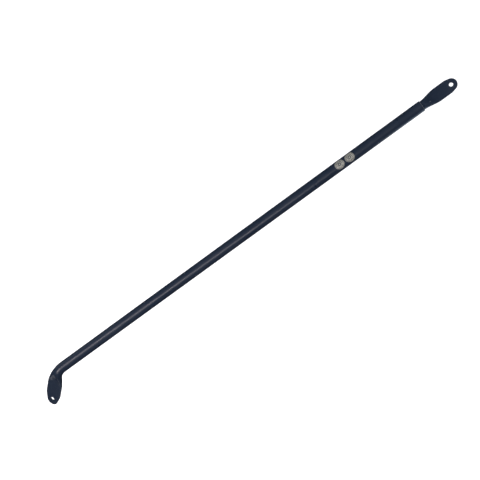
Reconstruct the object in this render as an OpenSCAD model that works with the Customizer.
// Tubular stay bar with a pressed eye at each end, in millimetres.
// +X runs along the bar from the straight eye to the bent one, +Z is up.
// The origin is the centre of the straight eye's hole, half way through the pressed plate,
// and +Z is that hole's axis.

/* [Main tube] */
// Outside diameter
tube_d = 22.2;              // [10:0.1:50]
// Wall thickness
tube_wall = 1.6;            // [0.8:0.1:4]
// Distance from the straight eye's hole to the corner where the bent leg leaves the bar
corner_x = 990;             // [200:1:2000]
// Distance from the straight eye's hole to the mouth of the main tube
mouth_x = 68;               // [45:1:200]
// Break on the outer edge of the mouth
mouth_break = 0.4;          // [0.1:0.1:1]

/* [End tube] */
// Wall thickness of the smaller tube, which fills the main tube's bore
end_wall = 1.6;             // [0.8:0.1:3]
// How far the end tube goes into the main tube
insert_depth = 45;          // [20:1:120]

/* [Bent leg] */
// Angle between the bar and the bent leg
bend_deg = 45;              // [0:1:90]
// Turn of the bend about the bar, 0 is straight down
bend_clock_deg = 25;        // [-90:1:90]
// Bend radius at the tube's centre
bend_r = 40;                // [25:1:150]
// Turn of the pressed flat about the leg's own length
flat_turn_deg = 42;         // [-90:1:90]
// Distance from the corner to the bent eye's hole
leg_to_hole = 87;           // [70:1:250]
// Where the tube starts to flatten, from the corner and along the leg
leg_crush_start = -1;       // [-15:1:40]
// Where the leg is fully flat, from the corner and along the leg
leg_crush_end = 40;         // [20:1:120]

/* [Eyes] */
// Thickness of both pressed flats
flat_t = 3.0;               // [1.6:0.1:8]
// Diameter of the hole in each eye
hole_d = 8.5;               // [5:0.1:20]
// Radius of the rounded tip
tip_r = 12.6;               // [8:0.1:30]
// How far the straight eye's hole is set back from the centre of its tip
straight_set_back = 0;      // [0:0.1:15]
// How far the bent eye's hole is set back from the centre of its tip
bent_set_back = 3.3;        // [0:0.1:15]
// Taper of the cut sides behind the tip
flare_deg = 13.5;           // [2:0.1:30]
// Where the straight eye stops being flat, from its hole
eye_flat_end = 32;          // [15:1:60]
// Break on the rims of the holes
hole_break = 0.25;          // [0.05:0.05:1]

/* [Labels] */
// Diameter of each round foil label
label_d = 20;               // [8:0.5:30]
// Thickness of the foil
label_t = 0.15;             // [0.05:0.05:0.5]
// Distance from the straight eye's hole to the nearer label
label_x = 239.5;            // [120:0.5:900]
// Distance between the two labels' centres
label_pitch = 24;           // [20:1:100]
// Turn of the labels about the bar, 0 is on top
label_clock_deg = 6.5;      // [-180:0.5:180]

/* [Quality] */
// Points around a pressed section, a multiple of 4
ring_points = 48;           // [24:4:72]
// Rings along a pressed length
ring_steps = 14;            // [8:1:24]

/* [Hidden] */
$fn = 96;

tube_r = tube_d / 2;
bore_r = tube_r - tube_wall;
flat_r = flat_t / 2;

// A pressed length starts and ends this much inside the exact pieces it joins.
seat = 0.04;

// Widths of the pressed flats: the wall's area in section stays the same.
function flat_half(r, wall) =
    (PI * (pow(r, 2) - pow(r - wall, 2)) + (4 - PI) * flat_t * flat_t / 4) / flat_t / 2;
bent_half = flat_half(tube_r, tube_wall);
straight_half = flat_half(bore_r, end_wall);

// The bend: direction down the leg, the bend's axis, and the flat's own directions.
bend_in = [0, sin(bend_clock_deg), -cos(bend_clock_deg)];
bend_axis = [0, cos(bend_clock_deg), sin(bend_clock_deg)];
bend_tan = bend_r * tan(bend_deg / 2);
bend_len = bend_r * bend_deg * PI / 180;
bend_x = corner_x - bend_tan;
leg_dir = [cos(bend_deg), 0, 0] + sin(bend_deg) * bend_in;
leg_start = [corner_x, 0, 0] + bend_tan * leg_dir;
bent_hole = [corner_x, 0, 0] + leg_to_hole * leg_dir;

// Path of the tube's centre: s is the length from the start of the bend.
function turn_at(s) = min(max(s / bend_len, 0), 1) * bend_deg;
function along_at(s) = cos(turn_at(s)) * [1, 0, 0] + sin(turn_at(s)) * bend_in;
function inward_at(s) = -sin(turn_at(s)) * [1, 0, 0] + cos(turn_at(s)) * bend_in;
function wide_at(s) = cos(flat_turn_deg) * bend_axis + sin(flat_turn_deg) * inward_at(s);
function thin_at(s) = cross(along_at(s), wide_at(s));
function centre_at(s) =
    s >= bend_len ? leg_start + (s - bend_len) * leg_dir
    : s <= 0 ? [bend_x + s, 0, 0]
    : [bend_x, 0, 0] + bend_r * (sin(turn_at(s)) * [1, 0, 0] + (1 - cos(turn_at(s))) * bend_in);
function leg_s(u) = bend_len + u - bend_tan;

// Half height and straight half width of a section, from round (f = 0) to flat (f = 1).
function ease(k) = let (q = min(max(k, 0), 1)) q * q * (3 - 2 * q);
function half_height(r, f) = r + (flat_r - r) * f;
function half_straight(r, wide, f) = (wide - flat_r) * (r - half_height(r, f)) / (r - flat_r);
function seat_at(k, steps) = k == 0 || k == steps ? seat : 0;

// Points of one section: two half circles joined by straight lines, "h" is half the height.
function section(c, h, centre, wide, thin) = [
    for (i = [0 : ring_points - 1])
        let (a = (i + 0.5) * 360 / ring_points - 90,
             side = i < ring_points / 2 ? 1 : -1)
        centre + (side * c + h * cos(a)) * wide + h * sin(a) * thin
];

// A closed solid through a list of sections.
module loft(rings) {
    n = ring_points;
    m = len(rings);
    pts = [for (r = rings) each r];
    polyhedron(
        points = pts,
        faces = concat(
            [[for (i = [0 : n - 1]) i]],
            [[for (i = [n - 1 : -1 : 0]) (m - 1) * n + i]],
            [for (j = [0 : m - 2], i = [0 : n - 1])
                each [[j * n + i, (j + 1) * n + i, j * n + (i + 1) % n],
                      [j * n + (i + 1) % n, (j + 1) * n + i, (j + 1) * n + (i + 1) % n]]]),
        convexity = 4);
}

// The pressed plate of an eye: tip towards +X, hole at the origin, "set_back" behind the tip's centre.
module eye_plate(half, set_back, back) {
    reach = back + set_back + tip_r + 1;
    side_x = set_back + (tip_r - seat) * sin(flare_deg);
    side_y = (tip_r - seat) * cos(flare_deg);
    wide_x = side_x - (half - side_y) / tan(flare_deg);
    intersection() {
        union() {
            translate([-back, -(half - flat_r), -flat_r])
                cube([reach, 2 * (half - flat_r), flat_t]);
            for (y = [-1, 1])
                translate([-back, y * (half - flat_r), 0])
                    rotate([0, 90, 0])
                        cylinder(r = flat_r, h = reach);
        }
        union() {
            translate([set_back, 0, 0])
                cylinder(r = tip_r, h = 2 * flat_t, center = true);
            translate([0, 0, -flat_t])
                linear_extrude(2 * flat_t)
                    polygon([[side_x, side_y], [wide_x, half + 0.01], [min(-back, wide_x) - 1, half + 0.01],
                             [min(-back, wide_x) - 1, -half - 0.01], [wide_x, -half - 0.01], [side_x, -side_y]]);
        }
    }
}

// The hole through an eye, with both rims broken.
module eye_hole() {
    cylinder(d = hole_d, h = 2 * flat_t, center = true);
    for (s = [-1, 1])
        translate([0, 0, s * (flat_r - hole_break / 2 + 0.01)])
            cylinder(r1 = hole_d / 2 + (s < 0 ? hole_break : 0),
                     r2 = hole_d / 2 + (s > 0 ? hole_break : 0),
                     h = hole_break + 0.02, center = true);
}

// Places children on the bent eye.
module at_bent_eye() {
    w = wide_at(leg_s(leg_to_hole));
    n = thin_at(leg_s(leg_to_hole));
    multmatrix([[leg_dir.x, w.x, n.x, bent_hole.x],
                [leg_dir.y, w.y, n.y, bent_hole.y],
                [leg_dir.z, w.z, n.z, bent_hole.z],
                [0, 0, 0, 1]])
        children();
}

// Sections of the main tube round its bend and down to the flat.
// "wall" is 0 for the outside and the wall thickness for the inside.
function leg_rings(wall, s_end, steps) =
    let (s0 = leg_s(leg_crush_start), s1 = leg_s(leg_crush_end))
    [for (k = [0 : steps])
        let (s = s_end * k / steps,
             f = ease((s - s0) / (s1 - s0)),
             h = half_height(tube_r, f),
             c = half_straight(tube_r, bent_half, f))
        section(c, h - wall - seat_at(k, steps), centre_at(s), wide_at(s), thin_at(s))];

// How far the inside stays open on its way to the flat, as a share of the crushed length.
function open_share(r, wall) =
    let (f = (r - wall - 0.3) / (r - flat_r))
    0.5 - sin(asin(1 - 2 * f) / 3);

module main_tube() {
    s_flat = leg_s(leg_crush_end);
    s_open = leg_s(leg_crush_start)
             + open_share(tube_r, tube_wall) * (leg_crush_end - leg_crush_start);
    color([0.12, 0.14, 0.18])
    difference() {
        union() {
            translate([mouth_x, 0, 0])
                rotate([0, 90, 0])
                    cylinder(r1 = tube_r - mouth_break, r2 = tube_r, h = mouth_break);
            translate([mouth_x + mouth_break, 0, 0])
                rotate([0, 90, 0])
                    cylinder(r = tube_r, h = bend_x - mouth_x - mouth_break);
            loft(leg_rings(0, s_flat + 1, ring_steps + 8));
            at_bent_eye()
                eye_plate(bent_half, bent_set_back, leg_to_hole - leg_crush_end);
        }
        translate([mouth_x - 1, 0, 0])
            rotate([0, 90, 0])
                cylinder(r = bore_r, h = bend_x - mouth_x + 1);
        loft(leg_rings(tube_wall, s_open, ring_steps + 6));
        at_bent_eye()
            eye_hole();
    }
}

// Sections of the end tube from the main tube's mouth to the straight eye.
function end_rings(wall, x_end, steps) =
    [for (k = [0 : steps])
        let (x = mouth_x + (x_end - mouth_x) * k / steps,
             f = ease((mouth_x - x) / (mouth_x - eye_flat_end)),
             h = half_height(bore_r, f),
             c = half_straight(bore_r, straight_half, f))
        section(c, h - wall - seat_at(k, steps), [x, 0, 0], [0, -1, 0], [0, 0, 1])];

module end_tube() {
    x_open = mouth_x - open_share(bore_r, end_wall) * (mouth_x - eye_flat_end);
    color([0.12, 0.14, 0.18])
    difference() {
        union() {
            translate([mouth_x, 0, 0])
                rotate([0, 90, 0])
                    cylinder(r = bore_r, h = insert_depth);
            loft(end_rings(0, eye_flat_end, ring_steps));
            rotate([0, 0, 180])
                eye_plate(straight_half, straight_set_back, eye_flat_end);
        }
        translate([mouth_x, 0, 0])
            rotate([0, 90, 0])
                cylinder(r = bore_r - end_wall, h = insert_depth + 1);
        loft(end_rings(end_wall, x_open, ring_steps - 2));
        eye_hole();
    }
}

// A round foil label wrapped on the tube.
module label(x) {
    wrap = label_d / 2 / tube_r * 180 / PI;
    rotate([-label_clock_deg, 0, 0])
        intersection() {
            translate([x - label_d, 0, 0])
                rotate([0, 90, 0])
                    difference() {
                        cylinder(r = tube_r + label_t, h = 2 * label_d, $fn = 256);
                        translate([0, 0, -1])
                            cylinder(r = tube_r, h = 2 * label_d + 2, $fn = 256);
                    }
            translate([x, 0, 0])
                linear_extrude(tube_d)
                    polygon([for (a = [0 : 6 : 354])
                        [label_d / 2 * cos(a), (tube_r + label_t) * sin(wrap) * sin(a)]]);
        }
}

module label_near() {
    color([0.78, 0.78, 0.76])
        label(label_x);
}

module label_far() {
    color([0.78, 0.78, 0.76])
        label(label_x + label_pitch);
}

main_tube();
end_tube();
label_near();
label_far();
